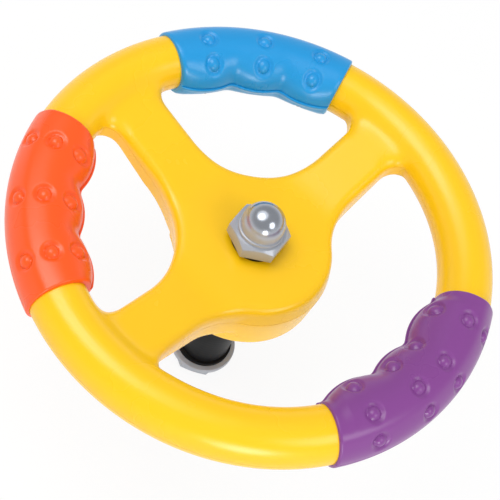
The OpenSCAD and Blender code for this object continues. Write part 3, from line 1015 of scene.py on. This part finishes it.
def make_screw(head_r, head_h, shank_r, low, high):
    """Pan-head screw with a cross recess, its head at the low end, shaped in shares of its own sizes."""
    crown = low + 0.25 * head_h
    seat = low + head_h
    profile = [(0, low), (0.6 * head_r, low), (0.9 * head_r, crown), (head_r, crown + 0.2 * head_h)]
    profile += [(head_r, seat), (shank_r, seat)]
    profile += [(shank_r, high - shank_r), (0.3 * shank_r, high), (0, high)]
    screw = turned(profile, 48)
    for spin in (0, TURN / 4):
        bar = added(bpy.ops.mesh.primitive_cube_add, size=1, location=(0, 0, low), rotation=(0, 0, spin))
        bar.scale = (1.1 * head_r, 0.26 * head_r, head_h)
        combine(screw, settle(bar), "DIFFERENCE")
    return screw


def screws_at(places, sizes, low, high):
    """One piece of several screws alike, at places in plan."""
    screws = []
    for at in places:
        screw = make_screw(*sizes, low, high)
        screw.location = (*at, 0)
        screws.append(settle(screw))
    return join(screws)


class HANDWHEEL_OT_screws(bpy.types.Operator):
    """Model the screws of the shells and of the grips"""

    bl_idname = "handwheel.screws"
    bl_label = "Screws"

    def execute(self, context):
        settings = context.scene.hand_wheel
        shell, grip = settings.shell, settings.grip
        zinc = zinc_plate("zinc_plated_screw", settings.colours.zinc, roughness=0.32, grain=0.1)
        for node, (_, _, depth) in SHELL_SCREWS.items():
            places, low = screw_places(shell, node)
            piece = screws_at(places, SHELL_SCREW, low + SHELL_SUNK, low + depth)
            finish_piece(piece, node.replace("_", "_shell_"), "wheel", [node], zinc)
        low, high = shell.rim_z - GRIP_SCREW_REAR, shell.rim_z + GRIP_SCREW_FRONT
        for name, (degrees, _, _, _) in GRIPS.items():
            piece = screws_at(grip_screw_places(grip, degrees), GRIP_SCREW, low, high)
            node = name + "_grip_screws"
            finish_piece(piece, name + "_screw_pair", "wheel", [node], zinc)
        return {"FINISHED"}


# Stage


class HANDWHEEL_OT_stage(bpy.types.Operator):
    """Set up the floor, the lights and the camera"""

    bl_idname = "handwheel.stage"
    bl_label = "Stage"

    def execute(self, context):
        settings = context.scene.hand_wheel
        scene = context.scene
        floor = added(bpy.ops.mesh.primitive_plane_add, size=FLOOR_SIZE, location=(0, 0, CAD_BOX[0][2]))
        floor.name = "studio_floor"
        floor.data.materials.append(white_floor("white_floor_paint", settings.colours.floor, FLOOR_GLOW))
        middle = Vector((0, 0, settings.shell.rim_z))
        for name, (azimuth, elevation, size, power) in LAMPS.items():
            soft_box(name, middle, azimuth, elevation, size, power)
        light_world(scene)
        place_camera(scene, middle)
        scene.view_settings.view_transform = "Standard"
        return {"FINISHED"}


def soft_box(name, target, azimuth, elevation, size, power):
    """A round soft box that faces the object."""
    a, e = math.radians(azimuth), math.radians(elevation)
    away = Vector((math.cos(a) * math.cos(e), math.sin(a) * math.cos(e), math.sin(e)))
    lamp = added(bpy.ops.object.light_add, type="AREA", location=target + LAMP_DISTANCE * away)
    lamp.name = name
    lamp.rotation_euler = away.to_track_quat("Z", "Y").to_euler()
    lamp.data.shape = "DISK"
    lamp.data.size = size
    lamp.data.energy = power


def light_world(scene):
    """A studio: white to the camera, an even fill on the object, and in reflections a white backdrop at
    the horizon that fades to a greyer ceiling."""
    world = bpy.data.worlds.new("studio_world")
    scene.world = world
    world.use_nodes = True
    tree = world.node_tree
    path = add_node(tree, "LightPath")
    place = add_node(tree, "TexCoord")
    height = add_node(tree, "SeparateXYZ", {}, {0: place.outputs["Generated"]})
    mirrored = fade(tree, height.outputs["Z"], *BACKDROP_FADE, 1, CEILING_LIGHT)
    unseen = add_node(
        tree,
        "Mix",
        {"data_type": "FLOAT", 2: FILL_LIGHT},
        {0: path.outputs["Is Glossy Ray"], 3: mirrored},
    )
    level = add_node(
        tree,
        "Mix",
        {"data_type": "FLOAT", 3: 1.0},
        {0: path.outputs["Is Camera Ray"], 2: unseen.outputs[0]},
    )
    tree.links.new(level.outputs[0], tree.nodes["Background"].inputs["Strength"])
    tree.nodes["Background"].inputs["Color"].default_value = (1, 1, 1, 1)


def place_camera(scene, middle):
    """The camera at the photograph's place: its tilt, its roll, and its offset from the rim's middle."""
    camera = added(bpy.ops.object.camera_add)
    camera.name = "photo_camera"
    turn = Matrix.Rotation(math.radians(CAMERA_TURN), 4, "Z")
    tilt = Matrix.Rotation(math.radians(CAMERA_TILT), 4, "X")
    roll = Matrix.Rotation(math.radians(CAMERA_ROLL), 4, "Z")
    offset = Matrix.Translation(CAMERA_PLACE)
    camera.matrix_world = Matrix.Translation(middle) @ turn @ tilt @ roll @ offset
    camera.data.sensor_width = CAMERA_SENSOR
    camera.data.lens = CAMERA_LENS
    camera.data.clip_start = 0.01
    scene.camera = camera


class HANDWHEEL_PT_panel(bpy.types.Panel):
    """Steps that build the hand wheel"""

    bl_label = "Hand Wheel"
    bl_idname = "HANDWHEEL_PT_panel"
    bl_space_type = "VIEW_3D"
    bl_region_type = "UI"
    bl_category = "Hand Wheel"

    def draw(self, context):
        for operator in OPERATORS:
            self.layout.operator(operator.bl_idname)
        for group in ("shell", "grip", "axle", "colours"):
            box = self.layout.box()
            settings = getattr(context.scene.hand_wheel, group)
            for key in settings.__annotations__:
                box.prop(settings, key)


OPERATORS = (
    HANDWHEEL_OT_shells,
    HANDWHEEL_OT_grips,
    HANDWHEEL_OT_bolt,
    HANDWHEEL_OT_tubes,
    HANDWHEEL_OT_cap_nut,
    HANDWHEEL_OT_screws,
    HANDWHEEL_OT_stage,
)
CLASSES = (
    HandWheelShellSizes,
    HandWheelGripSizes,
    HandWheelAxleSizes,
    HandWheelColours,
    HandWheelSettings,
    *OPERATORS,
    HANDWHEEL_PT_panel,
)


def register():
    """Register the classes and the scene's settings."""
    for cls in CLASSES:
        bpy.utils.register_class(cls)
    bpy.types.Scene.hand_wheel = bpy.props.PointerProperty(type=HandWheelSettings)


def unregister():
    """Remove the scene's settings and the classes."""
    del bpy.types.Scene.hand_wheel
    for cls in reversed(CLASSES):
        bpy.utils.unregister_class(cls)


def main():
    """Build every piece and the stage."""
    register()
    bpy.ops.handwheel.shells()
    bpy.ops.handwheel.grips()
    bpy.ops.handwheel.bolt()
    bpy.ops.handwheel.tubes()
    bpy.ops.handwheel.cap_nut()
    bpy.ops.handwheel.screws()
    bpy.ops.handwheel.stage()


if __name__ == "__main__":
    main()
